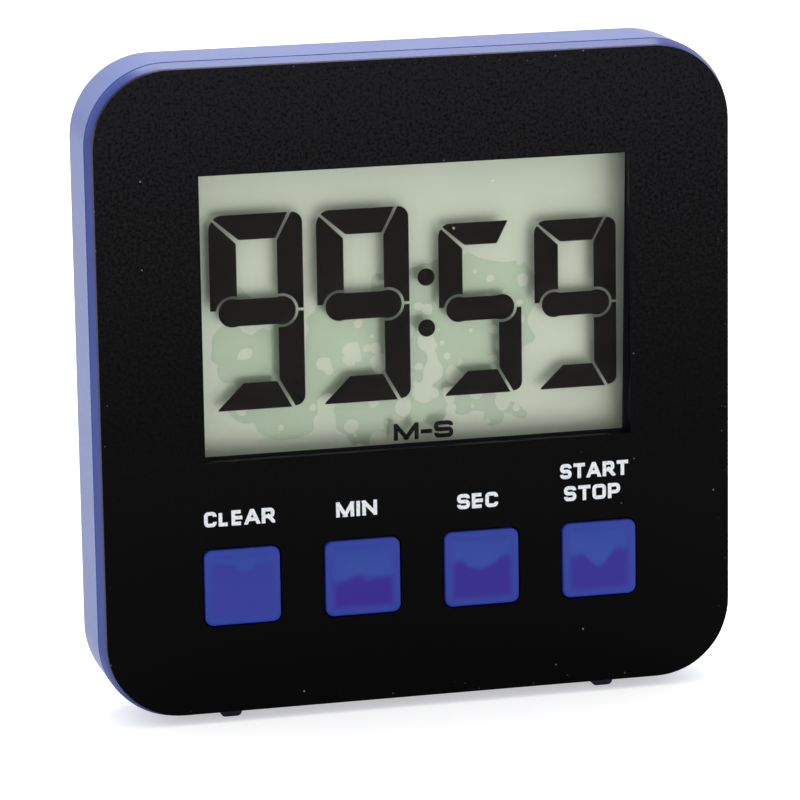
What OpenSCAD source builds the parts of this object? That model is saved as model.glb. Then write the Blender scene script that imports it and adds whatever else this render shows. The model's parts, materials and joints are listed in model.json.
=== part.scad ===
// Square countdown timer with four keys, a segment display and a fold-out stand.
// The front faces -Y, +Z is up and the origin is under the middle of the case.

/* [Front] */
// Width of the front plate
face_w = 75; // [72:0.5:80]
// Height of the front plate
face_h = 75.4; // [74:0.2:82]
// Corner radius of the front plate
corner_r = 8.9; // [8:0.1:11]
// Thickness of the front plate
plate_t = 1; // [0.8:0.1:1.2]

/* [Case] */
// Depth from the front plate to the back
case_d = 15; // [14.6:0.1:18]
// Wall thickness of the rear case
wall = 1.6; // [1.2:0.1:2]
// How far the case stands out past the front plate on each side
flare = 0.6; // [0.4:0.05:0.8]
// Radius of the rounded edge round the back
back_edge_r = 4; // [3:0.1:4.5]
// Drop from the front plate's lower edge to the floor
foot_drop = 1.3; // [1:0.1:3]

/* [Display] */
// Width of the display window
window_w = 50.9; // [48:0.1:52]
// Height of the display window
window_h = 33.3; // [30:0.1:34]
// Height of the window's middle above the middle of the front
window_up = 8.76; // [8.4:0.02:9]

/* [Keys] */
// Side of a key cap
key_w = 8.95; // [8.5:0.05:9.2]
// Distance between neighbouring keys
key_pitch = 14.3; // [14:0.1:14.6]
// How far the keys stand proud of the front plate
key_proud = 0.4; // [0.3:0.05:0.6]
// How far a key travels when pressed
key_travel = 0.6; // [0.4:0.05:0.6]
// Distance of the keys below the middle of the front
key_down = 22.7; // [22.5:0.1:23]

/* [Stand] */
// Width of the fold-out stand
stand_w = 26; // [20:0.5:28]
// Length of the stand from its hinge to its tip
stand_l = 38; // [34:0.5:39]

/* [Hidden] */
$fn = 64;
eps = 0.01;
over = 1;
root = 0.5;
pilot_skin = 0.4;

// Places of the main planes, measured back from the front of the plate
face_y = key_proud - (case_d + key_proud) / 2;
face_z = face_h / 2 + foot_drop;
parting_at = 2.3;
floor_back = 2;
tongue_back = 4.3;
board_front = 5.4;
board_t = 1.2;
board_back = board_front + board_t;
inner_back = case_d - wall;

// Front openings
window_z = face_z + window_up;
window_slack = 0.3;
key_z = face_z - key_down;
key_x = [for (i = [-1.5 : 1 : 1.5]) i * key_pitch];
key_r = 0.95;
key_gap = 0.2;
plate_edge_r = 0.15;

// Front frame: its rim ends in a small rounded-over lip at the parting line
tongue_gap = 0.15;
tongue_t = 0.9;
rib_t = 1;
rim_w = 3;
lip_front = 0.12;
lip_in = 0.05;
lip_back_in = 0.3;
groove_r = 0.25;

// Display stack
glass_w = window_w + 6;
glass_h = window_h + 7;
film_t = 0.15;
film_inset = 1;
front_glass_t = 0.7;
rear_glass_t = 1;
ledge = 2.2;
bond_t = 0.03;
crystal_layer_t = 0.05;
reflector_gap = 0.8;
film_back = floor_back + film_t;
front_glass_front = film_back + bond_t;
front_glass_back = front_glass_front + front_glass_t;
rear_glass_front = front_glass_back + crystal_layer_t;
rear_glass_back = rear_glass_front + rear_glass_t;
reflector_front = rear_glass_back + reflector_gap;
reflector_back = reflector_front + film_t;
rear_glass_h = glass_h - 2 * ledge;
strip_t = 1.6;
strip_w = glass_w - 3;
glass_gap = 0.2;
tray_w = glass_w - 1;
tray_h = rear_glass_h - 0.4;
tray_slot_w = glass_w - 10;
tray_slot_h = rear_glass_h / 3;

// Circuit board and what it carries
board_w = 62;
board_z0 = foot_drop + 7.2;
board_z1 = face_z + face_h / 2 - 2.7;
board_boss_r = 2;
board_screws_low = [10, key_z + 7.8];
board_screws_high = [18, board_z1 - 2.2];
board_screw_at = [
    for (s = [-1, 1])
        for (p = [board_screws_low, board_screws_high])
            [s * p[0], p[1]]
];
board_hole_r = 0.95;
board_pilot_r = 0.65;
post_clear = 0.4;
peg_clear = 0.1;
chip_x = -20;
chip_z = 52;
chip_r = 6;
chip_h = 1.6;
can_z = 36;
can_r = 1;
can_l = 6;
lead_wire_r = 0.15;
lead_wire_l = 2;
capacitor_x = -26.5;
capacitor_z = [30, 33];
capacitor_w = 2;
capacitor_l = 1.25;
capacitor_t = 0.8;

// Keys: cap, retaining flange, rubber boss and contact pill
flange_lip = 0.85;
flange_front = 2.2;
flange_back = 3;
boss_r = 3.1;
pill_r = 2;
pill_t = 0.3;
pill_clear = 0.1;
pill_back = board_front - key_travel - pill_clear;
boss_back = pill_back - pill_t;
sheet_front = 4;
sheet_gap = 0.35;
sheet_w = 3 * key_pitch + 11.4;
sheet_h = 11;
sheet_r = 1.5;
keypad_peg_r = 0.8;
keypad_peg_x = [for (i = [-1 : 1]) i * key_pitch];

// Stand, hinged at its top edge
hinge_r = 1.6;
hinge_pin_r = 0.75;
hinge_z = 47;
hinge_at = case_d - hinge_r;
stand_t = 2.2;
recess_d = 2.6;
recess_gap = 0.35;
recess_skin = 2;
pin_run = 0.05;
pin_grip = 3;
lug_w = 5.7;
tip_r = 5;
stand_tray_up = 3;
stand_tray_down = 6;
finger_r = 5;
finger_up = 1;
stand_hollow_side = 5.5;
stand_hollow_end = 10;
stand_hollow_up = 1;
stand_hollow_r = 2;
stand_face_t = 1;

// Battery compartment
cell_r = 5.8;
cell_t = 5.4;
cell_x = 25;
cell_z = 22.2;
cell_front = 7.4;
door_w = 17;
door_h = 21;
door_gap = 0.3;
door_ledge = 1;
door_lip_t = 0.9;
door_plug_t = wall + 0.2;
door_r = 1.5;
grip_w = 8;
grip_sink = 0.35;
grip_down = 3;
grip_pitch = 1.4;
contact_t = 0.3;
pocket_wall = 1.2;
pocket_clear = 0.2;
cell_cap_r = 4.9;
cell_cap_t = 0.4;
side_contact_w = 6;
spring_r = 3;
spring_stem_r = 1.2;

// Sounder and magnets
sounder_z = 61;
sounder_r = 10;
sounder_disc_t = 0.3;
ceramic_r = 7;
ceramic_t = 0.2;
sound_hole_r = 0.8;
sound_ring_r = 3.4;
magnet_x = 24;
magnet_z = 60;
magnet_r = 6;
magnet_t = 2;
magnet_skin = 1;
lead_r = 0.35;
ceramic_lead_x = -3;
disc_lead_x = 8.6;

// Case screws and feet
screw_inset = 6.8;
screw_x = face_w / 2 - screw_inset;
screw_z = [face_z - face_h / 2 + screw_inset, face_z + face_h / 2 - screw_inset];
post_r = 2.6;
screw_r = 1;
screw_head_r = 1.9;
screw_head_t = 1.3;
screw_sink = 0.5;
pilot_r = 0.85;
post_split = 6.9;
post_gap = 0.1;
screw_clear = 0.1;
screw_point = 0.8;
cross_w = 0.45;
cross_l = 2.6;
cross_sink = 0.7;
board_head_r = 1.5;
board_head_t = 0.9;
board_cross_w = 0.35;
board_cross_l = 2;
board_cross_sink = 0.4;
foot_x = 22.55;
foot_w = 2.55;
foot_front = 2.65;
foot_back = 13.2;
foot_h = foot_drop - flare;
foot_r = min(0.6, foot_h - 0.1);

// ---- helpers ----

// A flat outline in X and Z, drawn out from one depth to another
module slab(front, back) {
    translate([0, face_y + back, 0])
        rotate([90, 0, 0])
            linear_extrude(back - front)
                children();
}

// A rectangle with round corners, centred
module round_rect(w, h, r) {
    square([w - 2 * r, h], center = true);
    square([w, h - 2 * r], center = true);
    for (sx = [-1, 1])
        for (sz = [-1, 1])
            translate([sx * (w / 2 - r), sz * (h / 2 - r)])
                circle(r);
}

// A round bar along Y
module bar(r, front, back) {
    slab(front, back) circle(r);
}

// A solid block whose edge follows a profile: the child is the profile of one
// edge, with X outwards from the corner's centre and Y the depth behind the face
module edged_block(w, h, r, front, back) {
    core_w = w - 2 * r;
    core_h = h - 2 * r;
    translate([0, face_y, face_z])
        rotate([-90, 0, 0]) {
            translate([-core_w / 2 - eps, -core_h / 2 - eps, front])
                cube([core_w + 2 * eps, core_h + 2 * eps, back - front]);
            for (i = [0 : 3])
                rotate([0, 0, i * 90]) {
                    long = i % 2 == 0 ? core_h : core_w;
                    side = i % 2 == 0 ? core_w : core_h;
                    translate([side / 2, long / 2, 0])
                        rotate_extrude(angle = 90)
                            children();
                    translate([side / 2, long / 2, 0])
                        rotate([90, 0, 0])
                            linear_extrude(long)
                                children();
                }
        }
}

// Profile of the rear case's outside or inside, with its rounded back edge
module shell_profile(run, front, back, edge_r) {
    translate([0, front])
        square([run, back - edge_r - front]);
    translate([0, front])
        square([run - edge_r, back - front]);
    translate([run - edge_r, back - edge_r])
        circle(edge_r);
}

module shell_block(inset, front, back, edge_r) {
    run = corner_r + flare - inset;
    edged_block(face_w + 2 * flare - 2 * inset, face_h + 2 * flare - 2 * inset, run, front, back)
        shell_profile(run, front, back, edge_r);
}

module at_keys() {
    for (x = key_x)
        translate([x, 0, key_z])
            children();
}

module at_case_screws() {
    for (x = [-screw_x, screw_x])
        for (z = screw_z)
            translate([x, 0, z])
                children();
}

module at_board_screws() {
    for (p = board_screw_at)
        translate([p[0], 0, p[1]])
            children();
}

// The case outline at the parting line, drawn in by a distance
module inset_outline(inset) {
    translate([0, face_z])
        round_rect(
            face_w + 2 * flare - 2 * inset,
            face_h + 2 * flare - 2 * inset,
            corner_r + flare - inset
        );
}

// ---- front ----

module front_plate() {
    color("black")
        difference() {
            edged_block(face_w, face_h, corner_r, 0, plate_t) {
                translate([0, plate_edge_r])
                    square([corner_r, plate_t - plate_edge_r]);
                square([corner_r - plate_edge_r, plate_t]);
                translate([corner_r - plate_edge_r, plate_edge_r])
                    circle(plate_edge_r);
            }
            slab(-over, plate_t + over)
                translate([0, window_z])
                    square([window_w, window_h], center = true);
            at_keys()
                slab(-over, plate_t + over)
                    round_rect(key_w + 2 * key_gap, key_w + 2 * key_gap, key_r + key_gap);
        }
}

module front_frame() {
    color("mediumblue")
        difference() {
            union() {
                // sloping rim and floor
                edged_block(face_w, face_h, corner_r, plate_t, floor_back)
                    polygon([
                        [0, plate_t],
                        [corner_r, plate_t],
                        [corner_r + flare - lip_in, parting_at - lip_front],
                        [corner_r + flare - lip_back_in, parting_at],
                        [corner_r - rim_w, parting_at],
                        [corner_r - rim_w, floor_back],
                        [0, floor_back]
                    ]);
                // tongue inside the rear case
                slab(floor_back, tongue_back)
                    difference() {
                        inset_outline(wall + tongue_gap);
                        inset_outline(wall + tongue_gap + tongue_t);
                    }
                // walls that locate the display
                slab(floor_back, board_front)
                    translate([0, window_z])
                        difference() {
                            square(
                                [glass_w + 2 * (glass_gap + rib_t), glass_h + 2 * (glass_gap + rib_t)],
                                center = true
                            );
                            square([glass_w + 2 * glass_gap, glass_h + 2 * glass_gap], center = true);
                        }
                at_board_screws()
                    bar(board_boss_r, floor_back, board_front);
                at_case_screws()
                    bar(post_r, floor_back, post_split);
            }
            slab(0, floor_back + over)
                translate([0, window_z])
                    square([window_w + 2 * window_slack, window_h + 2 * window_slack], center = true);
            at_keys()
                slab(0, floor_back + over)
                    round_rect(key_w + 2 * key_gap, key_w + 2 * key_gap, key_r + key_gap);
            at_board_screws()
                bar(board_pilot_r, floor_back + pilot_skin, board_front + over);
            at_case_screws()
                bar(pilot_r, floor_back + pilot_skin, post_split + over);
        }
}

// ---- rear case ----

module door_pocket_outline(grow) {
    translate([cell_x, cell_z])
        round_rect(door_w + 2 * grow, door_h + 2 * grow, door_r + max(grow, 0));
}

module stand_outline(grow) {
    bottom = hinge_z - stand_l;
    translate([0, hinge_z - stand_l / 2])
        square([stand_w + 2 * grow, stand_l - 2 * tip_r], center = true);
    translate([0, (hinge_z + bottom + tip_r) / 2])
        square([stand_w + 2 * grow, hinge_z - bottom - tip_r], center = true);
    translate([0, bottom + tip_r])
        square([stand_w - 2 * tip_r, 2 * tip_r + 2 * grow], center = true);
    for (sx = [-1, 1])
        translate([sx * (stand_w / 2 - tip_r), bottom + tip_r])
            circle(tip_r + grow);
}

module sound_holes() {
    translate([0, sounder_z]) {
        circle(sound_hole_r);
        for (a = [0 : 60 : 300])
            rotate([0, 0, a])
                translate([sound_ring_r, 0])
                    circle(sound_hole_r);
    }
}

module rear_shell() {
    difference() {
        edged_block(
            face_w + 2 * flare, face_h + 2 * flare, corner_r + flare, parting_at, case_d
        )
            difference() {
                shell_profile(corner_r + flare, parting_at, case_d, back_edge_r);
                // groove at the parting line
                translate([corner_r + flare, parting_at])
                    circle(groove_r, $fn = 4);
            }
        shell_block(wall, parting_at - over, inner_back, back_edge_r - wall);
    }
}

module rear_case() {
    recess_floor = case_d - recess_d;
    finger_z = hinge_z - stand_l;
    color("royalblue")
        difference() {
            union() {
                rear_shell();
                at_case_screws()
                    bar(post_r, post_split + post_gap, inner_back + root);
                // tray under the stand
                slab(recess_floor - recess_skin, inner_back + root)
                    translate([-stand_w / 2 - lug_w, finger_z - stand_tray_down])
                        square([stand_w + 2 * lug_w, stand_l + stand_tray_down + stand_tray_up]);
                // battery compartment
                slab(cell_front + pocket_clear, inner_back + root)
                    difference() {
                        door_pocket_outline(pocket_wall);
                        door_pocket_outline(-door_ledge);
                    }
                // seats for the magnets
                for (x = [-magnet_x, magnet_x])
                    translate([x, 0, magnet_z])
                        bar(
                            magnet_r + pocket_wall,
                            case_d - magnet_t - magnet_skin,
                            inner_back + root
                        );
            }
            // recess for the stand, with a finger notch below its tip
            slab(recess_floor, case_d + over)
                stand_outline(recess_gap);
            slab(recess_floor, case_d + over)
                translate([0, finger_z + finger_up])
                    circle(finger_r);
            translate([0, 0, hinge_z])
                rotate([0, 90, 0])
                    translate([0, face_y + hinge_at, 0])
                        cylinder(
                            r = hinge_r + recess_gap, h = stand_w + 2 * recess_gap, center = true
                        );
            slab(hinge_at, case_d + over)
                translate([0, hinge_z])
                    square([stand_w + 2 * recess_gap, 2 * (hinge_r + recess_gap)], center = true);
            // hinge pin holes
            translate([0, face_y + hinge_at, hinge_z])
                rotate([0, 90, 0])
                    cylinder(
                        r = hinge_pin_r + pin_run, h = stand_w + 2 * pin_grip + over, center = true
                    );
            // battery door opening: a wide seat and a smaller way through
            slab(case_d - door_lip_t - door_gap, case_d + over)
                door_pocket_outline(door_gap);
            slab(inner_back - over, case_d + over)
                door_pocket_outline(-door_ledge);
            for (x = [-magnet_x, magnet_x])
                translate([x, 0, magnet_z])
                    bar(magnet_r, case_d - magnet_t, case_d + over);
            slab(inner_back - over, case_d + over)
                sound_holes();
            at_case_screws() {
                bar(screw_r + screw_clear, post_split - over, case_d + over);
                bar(screw_head_r + 2 * screw_clear, case_d - screw_head_t - screw_sink, case_d + over);
            }
        }
}

// ---- display ----

module lcd_polariser() {
    color("darkseagreen")
        slab(floor_back, film_back)
            translate([0, window_z])
                square([glass_w - 2 * film_inset, rear_glass_h], center = true);
}

module lcd_front_glass() {
    color("lightgrey")
        slab(front_glass_front, front_glass_back)
            translate([0, window_z])
                square([glass_w, glass_h], center = true);
}

module lcd_rear_glass() {
    color("lightgrey")
        slab(rear_glass_front, rear_glass_back)
            translate([0, window_z])
                square([glass_w, rear_glass_h], center = true);
}

module lcd_reflector() {
    color("darkseagreen")
        slab(reflector_front, reflector_back)
            translate([0, window_z])
                square([glass_w - 2 * film_inset, rear_glass_h], center = true);
}

module lcd_tray() {
    color("white")
        slab(reflector_back, board_front)
            translate([0, window_z])
                difference() {
                    square([tray_w, tray_h], center = true);
                    square([tray_slot_w, tray_slot_h], center = true);
                }
}

module contact_strip(up) {
    color("dimgrey")
        slab(front_glass_back, board_front)
            translate([0, window_z + up * (glass_h / 2 - strip_t / 2)])
                square([strip_w, strip_t], center = true);
}

module contact_strip_upper() {
    contact_strip(1);
}

module contact_strip_lower() {
    contact_strip(-1);
}

// ---- electronics ----

module circuit_board() {
    color("darkgreen")
        slab(board_front, board_back)
            difference() {
                translate([-board_w / 2, board_z0])
                    square([board_w, board_z1 - board_z0]);
                for (p = board_screw_at)
                    translate(p)
                        circle(board_hole_r);
                for (x = [-screw_x, screw_x])
                    for (z = screw_z)
                        translate([x, z])
                            circle(post_r + post_clear);
                for (x = keypad_peg_x)
                    translate([x, key_z])
                        circle(keypad_peg_r + peg_clear);
            }
}

module controller_blob() {
    ball_r = (chip_r * chip_r + chip_h * chip_h) / (2 * chip_h);
    color("black")
        translate([chip_x, face_y + board_back, chip_z])
            rotate([-90, 0, 0])
                rotate_extrude()
                    intersection() {
                        translate([0, chip_h - ball_r])
                            circle(ball_r, $fn = 360);
                        square([chip_r, chip_h]);
                    }
}

module crystal() {
    wire_pitch = 0.8;
    wire_in = 0.2;
    color("silver")
        translate([chip_x, face_y + board_back + can_r, can_z]) {
            cylinder(r = can_r, h = can_l);
            for (s = [-0.5, 0.5])
                translate([s * wire_pitch, -can_r + wire_in * 2, wire_in - lead_wire_l])
                    cylinder(r = lead_wire_r, h = lead_wire_l);
        }
}

module chip_capacitors() {
    color("tan")
        for (z = capacitor_z)
            slab(board_back, board_back + capacitor_t)
                translate([capacitor_x, z])
                    square([capacitor_w, capacitor_l], center = true);
}

// ---- keys ----

module keypad_sheet() {
    color("lightgrey")
        difference() {
            slab(sheet_front, board_front)
                translate([0, key_z])
                    round_rect(sheet_w, sheet_h, sheet_r);
            at_keys()
                bar(boss_r + sheet_gap, sheet_front - over, board_front + over);
        }
    color("lightgrey")
        for (x = keypad_peg_x)
            translate([x, 0, key_z])
                bar(keypad_peg_r, board_front, board_back + root);
}

module key_cap(i) {
    color("blue")
        translate([key_x[i], 0, key_z]) {
            slab(-key_proud, flange_front)
                round_rect(key_w, key_w, key_r);
            slab(flange_front, flange_back)
                round_rect(key_w + 2 * flange_lip, key_w + 2 * flange_lip, key_r);
        }
}

module key_boss(i) {
    color("grey")
        translate([key_x[i], 0, key_z])
            bar(boss_r, flange_back, boss_back);
}

module key_pill(i) {
    color("black")
        translate([key_x[i], 0, key_z])
            bar(pill_r, boss_back, pill_back);
}

// ---- sounder ----

module piezo_disc() {
    color("gold")
        translate([0, 0, sounder_z])
            bar(sounder_r, inner_back - sounder_disc_t, inner_back);
}

module piezo_ceramic() {
    color("white")
        translate([0, 0, sounder_z])
            bar(ceramic_r, inner_back - sounder_disc_t - ceramic_t, inner_back - sounder_disc_t);
}

module piezo_leads() {
    lead_back = inner_back - sounder_disc_t - ceramic_t;
    color("red")
        translate([ceramic_lead_x, 0, sounder_z])
            bar(lead_r, board_back, lead_back);
    color("black")
        translate([disc_lead_x, 0, sounder_z])
            bar(lead_r, board_back, inner_back - sounder_disc_t);
}

// ---- battery ----

module button_cell() {
    color("silver")
        translate([cell_x, 0, cell_z]) {
            bar(cell_r, cell_front + cell_cap_t, cell_front + cell_t);
            bar(cell_cap_r, cell_front, cell_front + cell_cap_t);
        }
}

module positive_contact() {
    color("silver")
        slab(board_back, cell_front + cell_t)
            translate([cell_x - cell_r - contact_t, cell_z - side_contact_w / 2])
                square([contact_t, side_contact_w]);
}

module negative_contact() {
    color("silver")
        translate([cell_x, 0, cell_z]) {
            bar(spring_r, cell_front - contact_t, cell_front);
            bar(spring_stem_r, board_back, cell_front - contact_t);
        }
}

module battery_door() {
    color("royalblue")
        difference() {
            union() {
                slab(case_d - door_lip_t, case_d)
                    door_pocket_outline(0);
                slab(case_d - door_plug_t, case_d - door_lip_t)
                    door_pocket_outline(-door_ledge - door_gap);
            }
            for (i = [0 : 3])
                slab(case_d - grip_sink, case_d + over)
                    translate([cell_x, cell_z + door_h / 2 - grip_down - i * grip_pitch])
                        square([grip_w, grip_pitch / 2], center = true);
        }
}

// ---- magnets, feet, stand and screws ----

module magnet(x) {
    color("dimgrey")
        translate([x, 0, magnet_z])
            bar(magnet_r, case_d - magnet_t, case_d);
}

module foot(x) {
    color("indigo")
        slab(foot_front, foot_back)
            translate([x, 0]) {
                translate([-foot_w / 2, foot_r])
                    square([foot_w, foot_h - foot_r]);
                translate([-foot_w / 2 + foot_r, 0])
                    square([foot_w - 2 * foot_r, foot_h]);
                for (s = [-1, 1])
                    translate([s * (foot_w / 2 - foot_r), foot_r])
                        intersection() {
                            circle(foot_r);
                            translate([-foot_r, -foot_r])
                                square([2 * foot_r, foot_h]);
                        }
            }
}

module stand_flap() {
    color("royalblue")
        difference() {
            union() {
                slab(case_d - stand_t, case_d)
                    stand_outline(0);
                translate([0, face_y + hinge_at, hinge_z])
                    rotate([0, 90, 0])
                        cylinder(r = hinge_r, h = stand_w, center = true);
            }
            // hollow that lightens the flap
            slab(case_d - stand_t - over, case_d - stand_face_t)
                translate([0, hinge_z - stand_l / 2 - stand_hollow_up])
                    round_rect(
                        stand_w - 2 * stand_hollow_side,
                        stand_l - 2 * stand_hollow_end,
                        stand_hollow_r
                    );
            translate([0, face_y + hinge_at, hinge_z])
                rotate([0, 90, 0])
                    cylinder(r = hinge_pin_r, h = stand_w + over, center = true);
        }
}

module stand_pin() {
    color("silver")
        translate([0, face_y + hinge_at, hinge_z])
            rotate([0, 90, 0])
                cylinder(r = hinge_pin_r, h = stand_w + 2 * pin_grip, center = true);
}

// A cross slot sunk into a screw head that ends at a depth
module cross_slot(w, l, sink, head_back) {
    slab(head_back - sink, head_back + over) {
        square([l, w], center = true);
        square([w, l], center = true);
    }
}

module board_screws() {
    head_back = board_back + board_head_t;
    color("silver")
        at_board_screws() {
            bar(board_pilot_r, floor_back + screw_point, board_back);
            difference() {
                bar(board_head_r, board_back, head_back);
                cross_slot(board_cross_w, board_cross_l, board_cross_sink, head_back);
            }
        }
}

module case_screws() {
    head_back = case_d - screw_sink;
    color("silver")
        at_case_screws() {
            bar(pilot_r, floor_back + screw_point, head_back - screw_head_t + eps);
            difference() {
                bar(screw_head_r, head_back - screw_head_t, head_back);
                cross_slot(cross_w, cross_l, cross_sink, head_back);
            }
        }
}

front_plate();
front_frame();
rear_case();
lcd_polariser();
lcd_front_glass();
lcd_rear_glass();
lcd_reflector();
lcd_tray();
contact_strip_upper();
contact_strip_lower();
circuit_board();
controller_blob();
crystal();
chip_capacitors();
keypad_sheet();
key_cap(0);  // key_clear
key_cap(1);  // key_minutes
key_cap(2);  // key_seconds
key_cap(3);  // key_start
key_boss(0);  // boss_clear
key_boss(1);  // boss_minutes
key_boss(2);  // boss_seconds
key_boss(3);  // boss_start
key_pill(0);  // pill_clear
key_pill(1);  // pill_minutes
key_pill(2);  // pill_seconds
key_pill(3);  // pill_start
piezo_disc();
piezo_ceramic();
piezo_leads();
button_cell();
positive_contact();
negative_contact();
battery_door();
magnet(-magnet_x);  // magnet_left
magnet(magnet_x);  // magnet_right
foot(-foot_x);  // foot_left
foot(foot_x);  // foot_right
stand_flap();
stand_pin();
board_screws();
case_screws();
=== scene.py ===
import json
import math

import bmesh
import bpy
from mathutils import Matrix, Vector


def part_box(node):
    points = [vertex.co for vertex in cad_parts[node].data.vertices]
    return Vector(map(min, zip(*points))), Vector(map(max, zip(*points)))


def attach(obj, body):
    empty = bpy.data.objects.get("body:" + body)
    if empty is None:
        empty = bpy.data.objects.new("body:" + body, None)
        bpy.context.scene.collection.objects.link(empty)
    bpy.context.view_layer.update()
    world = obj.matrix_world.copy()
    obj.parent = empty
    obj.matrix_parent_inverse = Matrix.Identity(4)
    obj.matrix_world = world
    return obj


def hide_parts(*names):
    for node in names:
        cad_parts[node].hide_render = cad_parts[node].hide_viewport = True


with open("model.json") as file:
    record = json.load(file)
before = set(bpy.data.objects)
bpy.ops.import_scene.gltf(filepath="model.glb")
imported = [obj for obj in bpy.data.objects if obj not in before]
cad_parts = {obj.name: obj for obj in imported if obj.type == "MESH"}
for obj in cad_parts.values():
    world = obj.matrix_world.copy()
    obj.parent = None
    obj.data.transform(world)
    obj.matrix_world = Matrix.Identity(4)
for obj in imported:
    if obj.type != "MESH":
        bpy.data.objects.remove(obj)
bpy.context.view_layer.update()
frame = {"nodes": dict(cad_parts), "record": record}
mm = 0.001  # everything below is given in millimetres and turned into metres

plateLow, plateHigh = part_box("front_plate")
faceY = plateLow.y
faceX = (plateLow.x + plateHigh.x) / 2
faceZ = (plateLow.z + plateHigh.z) / 2
keyLip = 0.85  # how far a key's retaining flange stands out past its cap
print("frame loaded, front plate", round((plateHigh.x - plateLow.x) / mm, 2), "mm wide")


def facePoint(x, depth, z):
    # a point given from the middle of the face, with depth into the case
    return Vector((faceX + x * mm, faceY + depth * mm, faceZ + z * mm))


# the camera stands to the left of the timer and a little above it
cameraView = {
    "turn": 14.02,  # degrees to the left of straight ahead
    "rise": 12.31,  # degrees above the horizon
    "roll": -0.9,
    "lens": 211.5,
    "distance": 543.1,
    "aimX": -2.34,
    "aimZ": -2.04,
}


def makeCamera():
    view = cameraView
    turn = math.radians(view["turn"])
    rise = math.radians(view["rise"])
    spin = Matrix.Rotation(-turn, 4, "Z") @ Matrix.Rotation(math.pi / 2 - rise, 4, "X")
    spin = spin @ Matrix.Rotation(math.radians(view["roll"]), 4, "Z")
    data = bpy.data.cameras.new("camera")
    data.lens = view["lens"]
    data.clip_start = 0.01
    data.clip_end = 50
    camera = bpy.data.objects.new("camera", data)
    bpy.context.scene.collection.objects.link(camera)
    aim = facePoint(view["aimX"], 0, view["aimZ"])
    back = spin @ Vector((0, 0, view["distance"] * mm))
    camera.matrix_world = Matrix.Translation(aim + back) @ spin
    bpy.context.scene.camera = camera


makeCamera()
print("camera placed")


def addNode(tree, kind, inputs=None, **settings):
    node = tree.nodes.new(kind)
    for key, value in settings.items():
        setattr(node, key, value)
    for key, value in (inputs or {}).items():
        if isinstance(value, bpy.types.NodeSocket):
            tree.links.new(value, node.inputs[key])
        else:
            node.inputs[key].default_value = value
    return node


def addMath(tree, operation, first, second=0.0, clamp=False):
    values = {0: first, 1: second}
    return addNode(tree, "ShaderNodeMath", values, operation=operation, use_clamp=clamp).outputs[0]


def addRange(tree, value, low, high, toLow=0.0, toHigh=1.0, smooth=False):
    node = addNode(
        tree,
        "ShaderNodeMapRange",
        {"Value": value, "From Min": low, "From Max": high, "To Min": toLow, "To Max": toHigh},
        interpolation_type="SMOOTHSTEP" if smooth else "LINEAR",
    )
    return node.outputs["Result"]


def addMix(tree, factor, first, second, blend="MIX"):
    node = addNode(tree, "ShaderNodeMix", data_type="RGBA", blend_type=blend)
    sockets = {s.identifier: s for s in node.inputs}
    for key, value in (("Factor_Float", factor), ("A_Color", first), ("B_Color", second)):
        if isinstance(value, bpy.types.NodeSocket):
            tree.links.new(value, sockets[key])
        elif key == "Factor_Float":
            sockets[key].default_value = value
        else:
            sockets[key].default_value = (*value, 1)
    return next(s for s in node.outputs if s.identifier == "Result_Color")


def objectPoint(tree):
    return addNode(tree, "ShaderNodeTexCoord").outputs["Object"]


def newGroup(name, inputs, outputs):
    tree = bpy.data.node_groups.new(name, "ShaderNodeTree")
    for label, value in inputs.items():
        socket = tree.interface.new_socket(label, in_out="INPUT", socket_type="NodeSocketFloat")
        socket.default_value = value
    for label in outputs:
        tree.interface.new_socket(label, in_out="OUTPUT", socket_type="NodeSocketFloat")
    start = tree.nodes.new("NodeGroupInput")
    end = tree.nodes.new("NodeGroupOutput")
    return tree, start.outputs, end.inputs


def placeGroup(tree, group, values):
    node = tree.nodes.new("ShaderNodeGroup")
    node.node_tree = group
    for key, value in values.items():
        node.inputs[key].default_value = value
    return node.outputs


def newMaterial(name, sockets):
    material = bpy.data.materials.new(name)
    material.use_nodes = True
    shader = material.node_tree.nodes["Principled BSDF"]
    for key, value in sockets.items():
        shader.inputs[key].default_value = value
    return material, material.node_tree, shader


def makeFineGrain():
    # small even grain of a moulded or sprayed surface
    tree, start, end = newGroup("fineGrain", {"Scale": 4000, "Softness": 0.5}, ("Mask", "Height"))
    noise = addNode(
        tree,
        "ShaderNodeTexNoise",
        {"Vector": objectPoint(tree), "Scale": start["Scale"], "Detail": 3, "Roughness": start["Softness"]},
    )
    mask = addRange(tree, noise.outputs["Fac"], 0.3, 0.7)
    tree.links.new(mask, end["Mask"])
    tree.links.new(noise.outputs["Fac"], end["Height"])
    return tree


def makeSlowTone():
    # broad soft change of tone over a whole piece
    tree, start, end = newGroup("slowTone", {"Scale": 40}, ("Mask",))
    noise = addNode(
        tree,
        "ShaderNodeTexNoise",
        {"Vector": objectPoint(tree), "Scale": start["Scale"], "Detail": 2},
    )
    tree.links.new(addRange(tree, noise.outputs["Fac"], 0.3, 0.7, smooth=True), end["Mask"])
    return tree


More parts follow.
